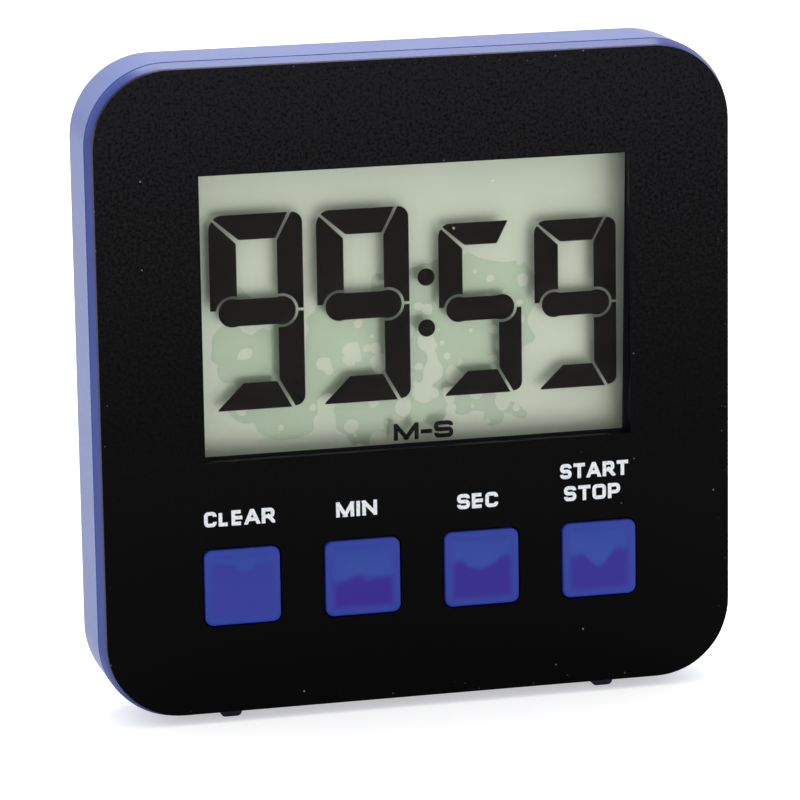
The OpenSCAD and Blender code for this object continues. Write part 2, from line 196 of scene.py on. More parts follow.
def makeDustFlecks():
    # a few tiny round specks, some of them brighter than the rest
    tree, start, end = newGroup("dustFlecks", {"Scale": 900, "Share": 0.05, "Size": 0.25}, ("Mask",))
    cells = addNode(
        tree,
        "ShaderNodeTexVoronoi",
        {"Vector": objectPoint(tree), "Scale": start["Scale"]},
        feature="F1",
    )
    draw = addNode(tree, "ShaderNodeSeparateColor", {"Color": cells.outputs["Color"]})
    chosen = addMath(tree, "LESS_THAN", draw.outputs["Red"], start["Share"])
    size = addMath(tree, "MULTIPLY", start["Size"], draw.outputs["Green"])
    inside = addMath(tree, "LESS_THAN", cells.outputs["Distance"], size)
    strength = addRange(tree, draw.outputs["Blue"], 0, 1, 0.25, 1)
    mask = addMath(tree, "MULTIPLY", addMath(tree, "MULTIPLY", chosen, inside), strength)
    tree.links.new(mask, end["Mask"])
    return tree


def makeRimBand():
    # rises from 0 to 1 towards the edge of a rounded rectangle that faces the front
    tree, start, end = newGroup(
        "rimBand",
        {"Half Width": 0.03, "Half Height": 0.03, "Centre X": 0, "Centre Z": 0, "Band": 0.002},
        ("Mask",),
    )
    place = addNode(tree, "ShaderNodeSeparateXYZ", {"Vector": objectPoint(tree)})
    gaps = []
    for axis, centre, half in (("X", "Centre X", "Half Width"), ("Z", "Centre Z", "Half Height")):
        away = addMath(tree, "SUBTRACT", place.outputs[axis], start[centre])
        away = addMath(tree, "ABSOLUTE", away)
        gaps.append(addMath(tree, "SUBTRACT", start[half], away))
    nearest = addMath(tree, "MINIMUM", gaps[0], gaps[1])
    share = addMath(tree, "DIVIDE", nearest, start["Band"], clamp=True)
    tree.links.new(addMath(tree, "SUBTRACT", 1.0, share), end["Mask"])
    return tree


fineGrain = makeFineGrain()
slowTone = makeSlowTone()
dustFlecks = makeDustFlecks()
rimBand = makeRimBand()
print("surface effects ready")


def plasticFinish(name, look):
    made, tree, shader = newMaterial(name, look["sockets"])
    grain = placeGroup(tree, fineGrain, {"Scale": look["grainScale"], "Softness": 0.6})
    tone = placeGroup(tree, slowTone, {"Scale": look["toneScale"]})
    flecks = placeGroup(
        tree,
        dustFlecks,
        {"Scale": look["fleckScale"], "Share": look["fleckShare"], "Size": look["fleckSize"]},
    )
    colour = addMix(tree, tone["Mask"], look["deep"], look["light"])
    colour = addMix(tree, flecks["Mask"], colour, look["fleckColour"])
    tree.links.new(colour, shader.inputs["Base Color"])
    rough = addRange(tree, grain["Mask"], 0, 1, look["roughLow"], look["roughHigh"])
    tree.links.new(rough, shader.inputs["Roughness"])
    bump = addNode(
        tree, "ShaderNodeBump", {"Height": grain["Height"], "Distance": look["bump"] * mm, "Strength": 1}
    )
    tree.links.new(bump.outputs["Normal"], shader.inputs["Normal"])
    return made


plainPlastic = {
    "deep": (0.02, 0.03, 0.3),
    "light": (0.028, 0.04, 0.34),
    "fleckColour": (0.6, 0.6, 0.65),
    "grainScale": 6000,
    "toneScale": 60,
    "fleckScale": 700,
    "fleckShare": 0.02,
    "fleckSize": 0.12,
    "roughLow": 0.3,
    "roughHigh": 0.38,
    "bump": 0.004,
    "sockets": {"IOR": 1.5, "Specular IOR Level": 0.42},
}
blueCase = {**plainPlastic, "deep": (0.008, 0.045, 0.27), "light": (0.014, 0.06, 0.3)}
# painted shade: the frame is the case's blue made darker, standing in for the shade on its band, which is
# tilted away from the light
shadedFrameBlue = {**plainPlastic, "deep": (0.004, 0.022, 0.21), "light": (0.006, 0.03, 0.24)}
# painted shade: the feet are the case's blue made much darker and more purple, standing in for the shade
# under the case
shadedFootBlue = {**plainPlastic, "deep": (0.02, 0.01, 0.08), "light": (0.03, 0.014, 0.1)}
whiteTray = {
    **plainPlastic,
    "deep": (0.7, 0.7, 0.68),
    "light": (0.78, 0.78, 0.76),
    "roughLow": 0.5,
    "roughHigh": 0.6,
}
greyRubber = {
    **plainPlastic,
    "deep": (0.34, 0.34, 0.35),
    "light": (0.4, 0.4, 0.41),
    "roughLow": 0.7,
    "roughHigh": 0.8,
}
blackCarbon = {
    **plainPlastic,
    "deep": (0.01, 0.01, 0.01),
    "light": (0.02, 0.02, 0.02),
    "roughLow": 0.6,
    "roughHigh": 0.75,
}
greenMask = {
    **plainPlastic,
    "deep": (0.01, 0.12, 0.04),
    "light": (0.015, 0.17, 0.06),
    "roughLow": 0.25,
    "roughHigh": 0.4,
}
blackResin = {
    **plainPlastic,
    "deep": (0.008, 0.008, 0.008),
    "light": (0.015, 0.015, 0.014),
    "roughLow": 0.1,
    "roughHigh": 0.2,
}
tanChip = {
    **plainPlastic,
    "deep": (0.4, 0.28, 0.16),
    "light": (0.5, 0.36, 0.22),
    "roughLow": 0.4,
    "roughHigh": 0.5,
}
redLead = {
    **plainPlastic,
    "deep": (0.4, 0.015, 0.015),
    "light": (0.5, 0.03, 0.025),
    "roughLow": 0.3,
    "roughHigh": 0.4,
}
paleCeramic = {
    **plainPlastic,
    "deep": (0.7, 0.68, 0.6),
    "light": (0.8, 0.78, 0.7),
    "roughLow": 0.35,
    "roughHigh": 0.5,
}


# painted reflection on the glossy key caps: a pale upper tone and a dark lower tone fixed on each cap
keyReflectionPaint = {
    "low": (0.021, 0.005, 0.27),
    "high": (0.021, 0.055, 0.345),
    "rim": (0.018, 0.041, 0.33),
    # height of the painted reflection's change of tone above the middle of each cap, how far it dips there,
    # and how much of the darker lower reflection shows
    "line": {
        "key_clear": (2.6, 0.8, 0.5),
        "key_minutes": (-0.4, 0.0, 1.0),
        "key_seconds": (0.7, 0.9, 0.95),
        "key_start": (0.8, 1.6, 0.85),
    },
    "lineBelow": 0.35,
    "lineAbove": 0.65,
    "dipHalf": 2.5,
    "wave": 1.1,
    "waveScale": 260,
    "rimBand": 1.5,
    "rough": (0.12, 0.2),
}


def keyReflectionFinish(name, nodeName):
    # moulded blue cap with a painted reflection: paler in its upper half, darker below, with a ragged
    # change of tone between; the flat rim band gets its own painted reflection tone
    look = keyReflectionPaint
    low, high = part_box(nodeName)
    made, tree, shader = newMaterial(name, {"IOR": 1.5, "Specular IOR Level": 0.28})
    place = addNode(tree, "ShaderNodeSeparateXYZ", {"Vector": objectPoint(tree)})
    noise = addNode(
        tree,
        "ShaderNodeTexNoise",
        {"Vector": objectPoint(tree), "Scale": look["waveScale"], "Detail": 1},
    )
    wave = addRange(tree, noise.outputs["Fac"], 0, 1, -look["wave"] * mm, look["wave"] * mm)
    level = addMath(tree, "ADD", place.outputs["Z"], wave)
    height, dip, share = look["line"][nodeName]
    line = (low.z + high.z) / 2 + height * mm
    aside = addMath(tree, "SUBTRACT", place.outputs["X"], (low.x + high.x) / 2)
    aside = addMath(tree, "ABSOLUTE", aside)
    drop = addRange(tree, aside, 0, look["dipHalf"] * mm, dip * mm, 0, smooth=True)
    level = addMath(tree, "ADD", level, drop)
    start, stop = line - look["lineBelow"] * mm, line + look["lineAbove"] * mm
    # painted reflection: the darker lower tone below the ragged line, the paler one above it
    upper = addRange(tree, level, start, stop, 1 - share, 1, smooth=True)
    colour = addMix(tree, upper, look["low"], look["high"])
    lip = (high.x - low.x) / 2 - keyLip * mm
    band = placeGroup(
        tree,
        rimBand,
        {
            "Half Width": lip,
            "Half Height": lip,
            "Centre X": (low.x + high.x) / 2,
            "Centre Z": (low.z + high.z) / 2,
            "Band": look["rimBand"] * mm,
        },
    )
    # painted reflection along the cap's flat rim band, lighter than the lower half
    colour = addMix(tree, addRange(tree, band["Mask"], 0, 0.7, smooth=True), colour, look["rim"])
    tree.links.new(colour, shader.inputs["Base Color"])
    grain = placeGroup(tree, fineGrain, {"Scale": 6000, "Softness": 0.6})
    tree.links.new(addRange(tree, grain["Mask"], 0, 1, *look["rough"]), shader.inputs["Roughness"])
    bump = addNode(
        tree, "ShaderNodeBump", {"Height": grain["Height"], "Distance": 0.0015 * mm, "Strength": 1}
    )
    tree.links.new(bump.outputs["Normal"], shader.inputs["Normal"])
    return made


def metalFinish(name, look):
    made, tree, shader = newMaterial(name, {"Metallic": 1})
    streaks = addNode(
        tree,
        "ShaderNodeMapping",
        {"Vector": objectPoint(tree), "Scale": (look["across"], look["across"], look["along"])},
    )
    noise = addNode(
        tree, "ShaderNodeTexNoise", {"Vector": streaks.outputs["Vector"], "Scale": 1, "Detail": 4}
    )
    tone = placeGroup(tree, slowTone, {"Scale": 220})
    fine = addRange(tree, noise.outputs["Fac"], 0.3, 0.7)
    colour = addMix(tree, tone["Mask"], look["deep"], look["light"])
    tree.links.new(colour, shader.inputs["Base Color"])
    rough = addRange(tree, fine, 0, 1, look["roughLow"], look["roughHigh"])
    tree.links.new(rough, shader.inputs["Roughness"])
    bump = addNode(tree, "ShaderNodeBump", {"Height": fine, "Distance": 0.002 * mm, "Strength": 0.6})
    tree.links.new(bump.outputs["Normal"], shader.inputs["Normal"])
    return made


brightSteel = {
    "deep": (0.56, 0.56, 0.55),
    "light": (0.68, 0.68, 0.66),
    "across": 9000,
    "along": 900,
    "roughLow": 0.2,
    "roughHigh": 0.34,
}
nickelMagnet = {**brightSteel, "deep": (0.4, 0.4, 0.4), "light": (0.52, 0.51, 0.5), "along": 6000}
rolledBrass = {**brightSteel, "deep": (0.6, 0.4, 0.14), "light": (0.74, 0.52, 0.22)}


blackPlate = {
    "dark": (0.0011, 0.0011, 0.0013),
    "pale": (0.0112, 0.0106, 0.012),
    # side: painted highlight colour for the sheet's outer side
    "side": (0.05, 0.052, 0.066),
    "fleck": (0.3, 0.29, 0.26),
    "chip": (0.22, 0.2, 0.18),
    "chipBand": 1.6,
    # the paler tone towards the top is painted light
    "topLightFade": 2.2,  # how late the paler tone comes in on the way up
    "grainScale": 2600,
    "bump": 0.012,
}


def plateFinish(name):
    # sprayed black sheet with painted light: it grows paler towards its top, standing in for the light it
    # catches there, and more grainy there
    look = blackPlate
    made, tree, shader = newMaterial(name, {"Specular IOR Level": 0.04})
    place = addNode(tree, "ShaderNodeSeparateXYZ", {"Vector": objectPoint(tree)})
    # painted light: the paler tone rises towards the top of the sheet
    rise = addRange(tree, place.outputs["Z"], plateLow.z, plateHigh.z, 0, 1)
    rise = addMath(tree, "POWER", rise, look["topLightFade"])
    grain = placeGroup(tree, fineGrain, {"Scale": look["grainScale"], "Softness": 0.7})
    topLightFade = addMath(tree, "MULTIPLY", rise, addRange(tree, grain["Mask"], 0.1, 0.9, 0.0, 1.9))
    colour = addMix(tree, topLightFade, look["dark"], look["pale"])
    flecks = placeGroup(tree, dustFlecks, {"Scale": 620, "Share": 0.09, "Size": 0.13})
    colour = addMix(tree, flecks["Mask"], colour, look["fleck"])
    rim = placeGroup(
        tree,
        rimBand,
        {
            "Half Width": (plateHigh.x - plateLow.x) / 2,
            "Half Height": (plateHigh.z - plateLow.z) / 2,
            "Centre X": faceX,
            "Centre Z": faceZ,
            "Band": look["chipBand"] * mm,
        },
    )
    chips = placeGroup(tree, dustFlecks, {"Scale": 2400, "Share": 0.06, "Size": 0.4})
    chipped = addMath(tree, "MULTIPLY", rim["Mask"], chips["Mask"])
    colour = addMix(tree, chipped, colour, look["chip"])
    # painted highlight: the sheet's outer side is given a lighter grey, standing in for the light it
    # catches
    outer = addRange(tree, rim["Mask"], 0.6, 0.9)
    depth = addRange(tree, place.outputs["Y"], faceY + 0.03 * mm, faceY + 0.16 * mm)
    colour = addMix(tree, addMath(tree, "MULTIPLY", depth, outer), colour, look["side"])
    tree.links.new(colour, shader.inputs["Base Color"])
    rough = addRange(tree, grain["Mask"], 0, 1, 0.42, 0.56)
    tree.links.new(rough, shader.inputs["Roughness"])
    bump = addNode(
        tree, "ShaderNodeBump", {"Height": grain["Height"], "Distance": look["bump"] * mm, "Strength": 1}
    )
    tree.links.new(bump.outputs["Normal"], shader.inputs["Normal"])
    return made


glassLook = {"clear": (0.99, 0.995, 0.99), "tint": (0.975, 0.985, 0.975)}


def glassFinish(name):
    made, tree, shader = newMaterial(name, {"Transmission Weight": 1, "IOR": 1.0, "Roughness": 0})
    tone = placeGroup(tree, slowTone, {"Scale": 90})
    colour = addMix(tree, tone["Mask"], glassLook["clear"], glassLook["tint"])
    tree.links.new(colour, shader.inputs["Base Color"])
    return made


windowLow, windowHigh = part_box("lcd_polariser")
windowX = (windowLow.x + windowHigh.x) / 2
windowZ = (windowLow.z + windowHigh.z) / 2

filmLook = {
    "deep": (0.5, 0.54, 0.48),
    "light": (0.58, 0.6, 0.54),
    "haze": 0.004,
    "speck": (0.9, 0.9, 0.85),
    "speckHaze": 0.35,
    "blackStrips": (0.003, 0.003, 0.003),
    # a black wedge along the right side of the film, widest at the bottom, and a black strip along its foot
    "halfWide": 25.6,
    "halfHigh": 16.8,
    "rightTop": 0.0,
    "rightLow": 0.55,
    "foot": 0.35,
}


def filmFinish(name):
    made, tree, shader = newMaterial(name, {"Roughness": 0.3})
    tone = placeGroup(tree, slowTone, {"Scale": 70})
    specks = placeGroup(tree, dustFlecks, {"Scale": 420, "Share": 0.09, "Size": 0.09})
    colour = addMix(tree, tone["Mask"], filmLook["deep"], filmLook["light"])
    colour = addMix(tree, specks["Mask"], colour, filmLook["speck"])
    place = addNode(tree, "ShaderNodeSeparateXYZ", {"Vector": objectPoint(tree)})
    high = filmLook["halfHigh"] * mm
    lowZ, topZ = windowZ - high, windowZ + high
    wedge = addRange(
        tree, place.outputs["Z"], lowZ, topZ, filmLook["rightLow"] * mm, filmLook["rightTop"] * mm
    )
    edge = addMath(tree, "SUBTRACT", windowX + filmLook["halfWide"] * mm, wedge)
    beyond = addMath(tree, "GREATER_THAN", place.outputs["X"], edge)
    below = addMath(tree, "LESS_THAN", place.outputs["Z"], lowZ + filmLook["foot"] * mm)
    blackStrips = addMath(tree, "MAXIMUM", beyond, below)
    colour = addMix(tree, blackStrips, colour, filmLook["blackStrips"])
    tree.links.new(colour, shader.inputs["Base Color"])
    haze = addMath(tree, "MULTIPLY", specks["Mask"], filmLook["speckHaze"])
    haze = addMath(tree, "ADD", haze, filmLook["haze"])
    tree.links.new(addMath(tree, "MAXIMUM", haze, blackStrips), shader.inputs["Alpha"])
    return made


reflectorLook = {
    "plain": (0.615, 0.65, 0.54),
    "wet": (0.465, 0.55, 0.415),
    "outline": (0.37, 0.43, 0.34),
    "metallic": 0.5,
    "plainRough": 0.4,
    "wetRough": 0.3,
    "patchScale": 115,
    "bigBubbles": 330,
    "smallBubbles": 560,
    "warp": 0.9,
    "swirlScale": 330,
    # the stretch of the window where most patches lie: middle, half width and half height
    "wetX": -3,
    "wetZ": -6,
    "wetWide": 24,
    "wetHigh": 13,
    "bigLargest": 0.46,
    "smallLargest": 0.42,
    "wetDeeper": 0.96,
}


def addBubbles(tree, vector, scale, largest):
    # 1 outside and 0 inside round bubbles of mixed size, one to a cell
    cells = addNode(tree, "ShaderNodeTexVoronoi", {"Vector": vector, "Scale": scale}, feature="F1")
    draw = addNode(tree, "ShaderNodeSeparateColor", {"Color": cells.outputs["Color"]})
    size = addRange(tree, draw.outputs["Red"], 0.15, 1, 0.02, largest)
    bubble = addMath(tree, "SUBTRACT", cells.outputs["Distance"], size)
    return addRange(tree, bubble, -0.03, 0.03, smooth=True)


def reflectorFinish(name):
    # the loose film behind the cell clings to the glass in patches full of round bubbles
    look = reflectorLook
    made, tree, shader = newMaterial(name, {"Metallic": look["metallic"]})
    centred = addNode(
        tree, "ShaderNodeMapping", {"Vector": objectPoint(tree), "Location": (-windowX, 0, -windowZ)}
    ).outputs["Vector"]
    place = addNode(tree, "ShaderNodeSeparateXYZ", {"Vector": centred})
    patches = addNode(
        tree, "ShaderNodeTexNoise", {"Vector": centred, "Scale": look["patchScale"], "Detail": 2}
    )
    swirl = addNode(
        tree, "ShaderNodeTexNoise", {"Vector": centred, "Scale": look["swirlScale"], "Detail": 1}
    )
    shift = addNode(
        tree,
        "ShaderNodeVectorMath",
        {0: swirl.outputs["Color"], 1: (look["warp"] * mm,) * 3},
        operation="MULTIPLY",
    )
    warped = addNode(
        tree, "ShaderNodeVectorMath", {0: centred, 1: shift.outputs["Vector"]}, operation="ADD"
    ).outputs["Vector"]
    across = addMath(tree, "ADD", place.outputs["X"], -look["wetX"] * mm)
    across = addMath(tree, "DIVIDE", across, look["wetWide"] * mm)
    down = addMath(tree, "ADD", place.outputs["Z"], -look["wetZ"] * mm)
    down = addMath(tree, "DIVIDE", down, look["wetHigh"] * mm)
    around = addMath(tree, "ADD", addMath(tree, "POWER", across, 2), addMath(tree, "POWER", down, 2))
    inside = addRange(tree, around, 0.4, 1.2, 0.1, -0.22)
    level = addMath(tree, "ADD", patches.outputs["Fac"], inside)
    covered = addRange(tree, level, 0.5, 0.52, smooth=True)
    big = addBubbles(tree, warped, look["bigBubbles"], look["bigLargest"])
    wet = addMath(tree, "MULTIPLY", covered, big)
    small = addBubbles(tree, warped, look["smallBubbles"], look["smallLargest"])
    wet = addMath(tree, "MULTIPLY", wet, small)
    tone = placeGroup(tree, slowTone, {"Scale": 300})
    deeper = tuple(look["wetDeeper"] * c for c in look["wet"])
    wetShade = addMix(tree, tone["Mask"], look["wet"], deeper)
    colour = addMix(tree, wet, look["plain"], wetShade)
    # the patches dry out with a thin darker line along their edges
    brim = addMath(tree, "MULTIPLY", wet, addMath(tree, "SUBTRACT", 1.0, wet))
    colour = addMix(tree, addRange(tree, brim, 0.02, 0.25, 0, 0.55), colour, look["outline"])
    tree.links.new(colour, shader.inputs["Base Color"])
    rough = addRange(tree, wet, 0, 1, look["plainRough"], look["wetRough"])
    tree.links.new(rough, shader.inputs["Roughness"])
    return made


inkLook = {"deep": (0.005, 0.0038, 0.0034), "light": (0.008, 0.006, 0.005)}


def segmentFinish(name):
    made, tree, shader = newMaterial(name, {"Specular IOR Level": 0.06})
    tone = placeGroup(tree, slowTone, {"Scale": 260})
    grain = placeGroup(tree, fineGrain, {"Scale": 5000, "Softness": 0.5})
    colour = addMix(tree, tone["Mask"], inkLook["deep"], inkLook["light"])
    tree.links.new(colour, shader.inputs["Base Color"])
    tree.links.new(addRange(tree, grain["Mask"], 0, 1, 0.5, 0.6), shader.inputs["Roughness"])
    return made


printLook = {"thin": (0.55, 0.6, 0.68), "full": (0.85, 0.87, 0.9)}


def printFinish(name):
    made, tree, shader = newMaterial(name, {"Specular IOR Level": 0.3})
    grain = placeGroup(tree, fineGrain, {"Scale": 3800, "Softness": 0.6})
    cover = addRange(tree, grain["Mask"], 0.0, 0.6)
    tree.links.new(addMix(tree, cover, printLook["thin"], printLook["full"]), shader.inputs["Base Color"])
    tree.links.new(addRange(tree, grain["Mask"], 0, 1, 0.5, 0.7), shader.inputs["Roughness"])
    return made


slotFinish = {
    "plate_black": plateFinish("blackPlateSheet"),
    "frame_blue": plasticFinish("shadedBlueFramePlastic", shadedFrameBlue),
    "case_blue": plasticFinish("blueCasePlastic", blueCase),
    "foot_indigo": plasticFinish("shadedFootPlastic", shadedFootBlue),
    "door_blue": plasticFinish("blueDoorPlastic", blueCase),
    "stand_blue": plasticFinish("blueStandPlastic", blueCase),
    "polariser": filmFinish("polariserFilm"),
    "display_glass": glassFinish("displayGlass"),
    "reflector": reflectorFinish("reflectorFilm"),
    "tray_white": plasticFinish("whiteTrayPlastic", whiteTray),
    "elastomer": plasticFinish("contactStripRubber", blackCarbon),
    "board_green": plasticFinish("boardSolderMask", greenMask),
    "epoxy_black": plasticFinish("blackResin", blackResin),
    "can_metal": metalFinish("crystalCan", brightSteel),
    "capacitor_tan": plasticFinish("capacitorCeramic", tanChip),
    "keypad_grey": plasticFinish("keypadRubber", greyRubber),
    "carbon": plasticFinish("carbonPill", blackCarbon),
    "sounder_brass": metalFinish("sounderBrass", rolledBrass),
    "sounder_ceramic": plasticFinish("sounderCeramic", paleCeramic),
    "lead_red": plasticFinish("redLead", redLead),
    "cell_steel": metalFinish("cellSteel", brightSteel),
    "contact_metal": metalFinish("contactSpring", brightSteel),
    "magnet_grey": metalFinish("magnetNickel", nickelMagnet),
    "pin_steel": metalFinish("pinSteel", brightSteel),
    "screw_steel": metalFinish("screwSteel", brightSteel),
}
nodeSlot = {row["node"]: row["material_slot"] for row in frame["record"]["subparts"]}
keyNames = ("clear", "minutes", "seconds", "start")
keyReflectionFinishes = {"key_" + key: keyReflectionFinish(key + "KeyPaintedReflection", "key_" + key) for key in keyNames}
for nodeName, nodeObject in frame["nodes"].items():
    nodeObject.data.materials.clear()
    finish = keyReflectionFinishes.get(nodeName) or slotFinish[nodeSlot[nodeName]]
    nodeObject.data.materials.append(finish)
print("materials on", len(frame["nodes"]), "nodes")


cleanSpec = {"merge": 0.0005, "collapse": 0.0002}


def dropSlivers(bm):
    # takes out the folded, empty slivers that a bevel or a cut can leave behind
    bmesh.ops.triangulate(bm, faces=bm.faces)
    bmesh.ops.remove_doubles(bm, verts=bm.verts, dist=cleanSpec["merge"] * mm)
    bmesh.ops.dissolve_degenerate(bm, dist=cleanSpec["collapse"] * mm, edges=bm.edges)
    bmesh.ops.triangulate(bm, faces=bm.faces)
    alone = set(bm.faces)
    while alone:
        island = {alone.pop()}
        waiting = list(island)
        while waiting:
            face = waiting.pop()
            near = {f for e in face.edges if len(e.link_faces) == 2 for f in e.link_faces}
            fresh = near & alone
            alone -= fresh
            island |= fresh
            waiting.extend(fresh)
        if len(island) <= 2:
            bmesh.ops.delete(bm, geom=list(island), context="FACES")


def newPiece(name, bm, material, body, smooth=False):
    dropSlivers(bm)
    mesh = bpy.data.meshes.new(name)
    bm.to_mesh(mesh)
    bm.free()
    mesh.materials.append(material)
    if smooth:
        mesh.shade_smooth()
    piece = bpy.data.objects.new(name, mesh)
    bpy.context.scene.collection.objects.link(piece)
    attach(piece, body)
    return piece


def scratchObject(bm):
    mesh = bpy.data.meshes.new("scratch")
    bm.to_mesh(mesh)
    bm.free()
    made = bpy.data.objects.new("scratch", mesh)
    bpy.context.scene.collection.objects.link(made)
    return made


def cutMesh(target, cutter):
    # the first shape less the second, as a new bmesh
    cut = target.modifiers.new("cut", "BOOLEAN")
    cut.operation = "DIFFERENCE"
    cut.solver = "EXACT"
    cut.object = cutter
    shown = bpy.context.evaluated_depsgraph_get()
    bm = bmesh.new()
    bm.from_mesh(target.evaluated_get(shown).to_mesh())
    return bm


def joinShapes(shapes, within=None):
    # closed shapes united into one mesh, and trimmed to a box where one is given
    first = shapes[0]
    for shape in shapes[1:]:
        join = first.modifiers.new("join", "BOOLEAN")
        join.operation = "UNION"
        join.solver = "EXACT"
        join.object = shape
    if within:
        trim = first.modifiers.new("trim", "BOOLEAN")
        trim.operation = "INTERSECT"
        trim.solver = "EXACT"
        trim.object = within
        shapes = [*shapes, within]
    shown = bpy.context.evaluated_depsgraph_get()
    mesh = bpy.data.meshes.new_from_object(first.evaluated_get(shown))
    for shape in shapes:
        dropScratch(shape)
    return mesh


def dropScratch(made):
    mesh = made.data
    bpy.data.objects.remove(made)
    bpy.data.meshes.remove(mesh)


edgeSpec = {
    "weld": 0.002,
    "flat": 0.4,  # degrees between faces that count as one flat face
    "sharp": 38,
    "segments": 3,
}


def softCopy(nodeName, body, name, width):
    # the same shape with its hard edges rounded over by a small width
    spec = edgeSpec
    bm = bmesh.new()
    bm.from_mesh(frame["nodes"][nodeName].data)
    bmesh.ops.remove_doubles(bm, verts=bm.verts, dist=spec["weld"] * mm)
    bmesh.ops.dissolve_limit(
        bm, angle_limit=math.radians(spec["flat"]), verts=bm.verts, edges=bm.edges
    )
    sharp = math.radians(spec["sharp"])
    hard = [e for e in bm.edges if e.is_manifold and e.calc_face_angle() > sharp]
    bmesh.ops.bevel(
        bm,
        geom=hard,
        offset=width * mm,
        offset_type="OFFSET",
        affect="EDGES",
        segments=spec["segments"],
        profile=0.5,
        clamp_overlap=True,
        material=-1,
    )
    slotName = nodeSlot[nodeName]
    piece = newPiece(name, bm, slotFinish[slotName], body, smooth=True)
    weights = piece.modifiers.new("faceWeights", "WEIGHTED_NORMAL")
    weights.keep_sharp = True
    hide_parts(nodeName)
    return piece


softPieces = {
    "front_plate": ("case", "plateSheet", 0.12),
    "front_frame": ("case", "frameShell", 0.06),
    "rear_case": ("case", "backShell", 0.15),
    "battery_door": ("door", "cellDoor", 0.15),
    "stand_flap": ("stand", "standFlap", 0.2),
    "magnet_left": ("case", "magnetLeft", 0.15),
    "magnet_right": ("case", "magnetRight", 0.15),
    "case_screws": ("case", "caseScrews", 0.08),
    "controller_blob": ("case", "controllerBlob", 0.05),
}
for nodeName, (body, name, width) in softPieces.items():
    softCopy(nodeName, body, name, width)
print("edges softened on", len(softPieces), "pieces")


keyLook = {
    "corner": 0.95,
    "edge": 0.28,
    "rim": 0.75,
    "dish": 0.26,
    "cells": 14,
    "deepestUp": 0.25,  # share of the half height by which the dish is deepest above the middle
    "flangeFront": 2.2,
    "root": 0.4,
}


def makeKey(nodeName, body, name):
    look = keyLook
    low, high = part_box(nodeName)
    middle = (low + high) / 2
    flangeY = faceY + look["flangeFront"] * mm
    half = (high.x - low.x) / 2 - keyLip * mm
    bm = bmesh.new()
    stemEnd = flangeY + look["root"] * mm  # the cap runs a little way into its flange
    bmesh.ops.create_cube(bm, size=1)
    size = Vector((2 * half, stemEnd - low.y, 2 * half))
    bmesh.ops.scale(bm, vec=size, verts=bm.verts)
    bmesh.ops.translate(bm, vec=(middle.x, (stemEnd + low.y) / 2, middle.z), verts=bm.verts)
    sides = [e for e in bm.edges if abs((e.verts[0].co - e.verts[1].co).normalized().y) > 0.9]
    bmesh.ops.bevel(
        bm, geom=sides, offset=look["corner"] * mm, affect="EDGES", segments=8, profile=0.5, material=-1
    )
    front = min(bm.faces, key=lambda f: f.calc_center_median().y)
    bmesh.ops.bevel(
        bm,
        geom=list(front.edges),
        offset=look["edge"] * mm,
        affect="EDGES",
        segments=5,
        profile=0.5,
        material=-1,
    )
    front = max(bm.faces, key=lambda f: f.calc_area() * (f.normal.y < -0.99))
    bmesh.ops.inset_region(bm, faces=[front], thickness=look["rim"] * mm * 0.5)
    front = max(bm.faces, key=lambda f: f.calc_area() * (f.normal.y < -0.99))
    # the dish: slices in both directions, then a hollow pressed into the middle
    region = [front]
    reach = half - look["edge"] * mm - look["rim"] * mm * 0.5
    for direction in (Vector((1, 0, 0)), Vector((0, 0, 1))):
        for step in range(1, 2 * look["cells"]):
            place = middle + direction * reach * (step / look["cells"] - 1)
            geom = region + list({e for f in region for e in f.edges})
            geom += list({v for f in region for v in f.verts})
            cut = bmesh.ops.bisect_plane(
                bm, geom=geom, plane_co=place, plane_no=direction, dist=1e-7
            )
            region = [g for g in cut["geom"] if isinstance(g, bmesh.types.BMFace)]
    for vert in {v for f in region for v in f.verts}:
        across = (vert.co.x - middle.x) / reach
        upward = (vert.co.z - middle.z) / reach
        lift = upward - look["deepestUp"] * (1 - upward * upward)
        fall = max(0.0, 1 - across**6) * max(0.0, 1 - lift * lift)
        vert.co.y += look["dish"] * mm * fall
    flange = bmesh.new()
    bmesh.ops.create_cube(flange, size=1)
    size = Vector((high.x - low.x, high.y - flangeY, high.z - low.z))
    bmesh.ops.scale(flange, vec=size, verts=flange.verts)
    place = (middle.x, (high.y + flangeY) / 2, middle.z)
    bmesh.ops.translate(flange, vec=place, verts=flange.verts)
    upright = [e for e in flange.edges if abs((e.verts[0].co - e.verts[1].co).normalized().y) > 0.9]
    bmesh.ops.bevel(
        flange,
        geom=upright,
        offset=look["corner"] * mm,
        affect="EDGES",
        segments=8,
        profile=0.5,
        material=-1,
    )
    joined = joinShapes([scratchObject(flange), scratchObject(bm)])
    bm = bmesh.new()
    bm.from_mesh(joined)
    bpy.data.meshes.remove(joined)
    piece = newPiece(name, bm, keyReflectionFinishes[nodeName], body, smooth=True)
    weights = piece.modifiers.new("faceWeights", "WEIGHTED_NORMAL")
    weights.keep_sharp = True
    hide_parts(nodeName)


for keyName in keyNames:
    makeKey("key_" + keyName, keyName + "_key", keyName + "Key")
print("keys made")


# the segments lie in the thin gap between the two glasses
gapFront = (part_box("lcd_front_glass")[1].y - faceY) / mm
gapBack = (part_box("lcd_rear_glass")[0].y - faceY) / mm
segmentFront = gapFront + 0.2 * (gapBack - gapFront)
segmentBack = gapBack - 0.2 * (gapBack - gapFront)

segmentLook = {
    "width": 11.0,
    "height": 22.85,
    "left": 3.18,  # width of a left stroke
    "right": 3.02,
    "topBar": 2.95,
    "lowBar": 3.15,
    "gap": 0.32,
    "midLeft": 0.97,
    "midRight": 10.05,
    "midHalf": 1.66,
    "barHalf": 1.56,
}


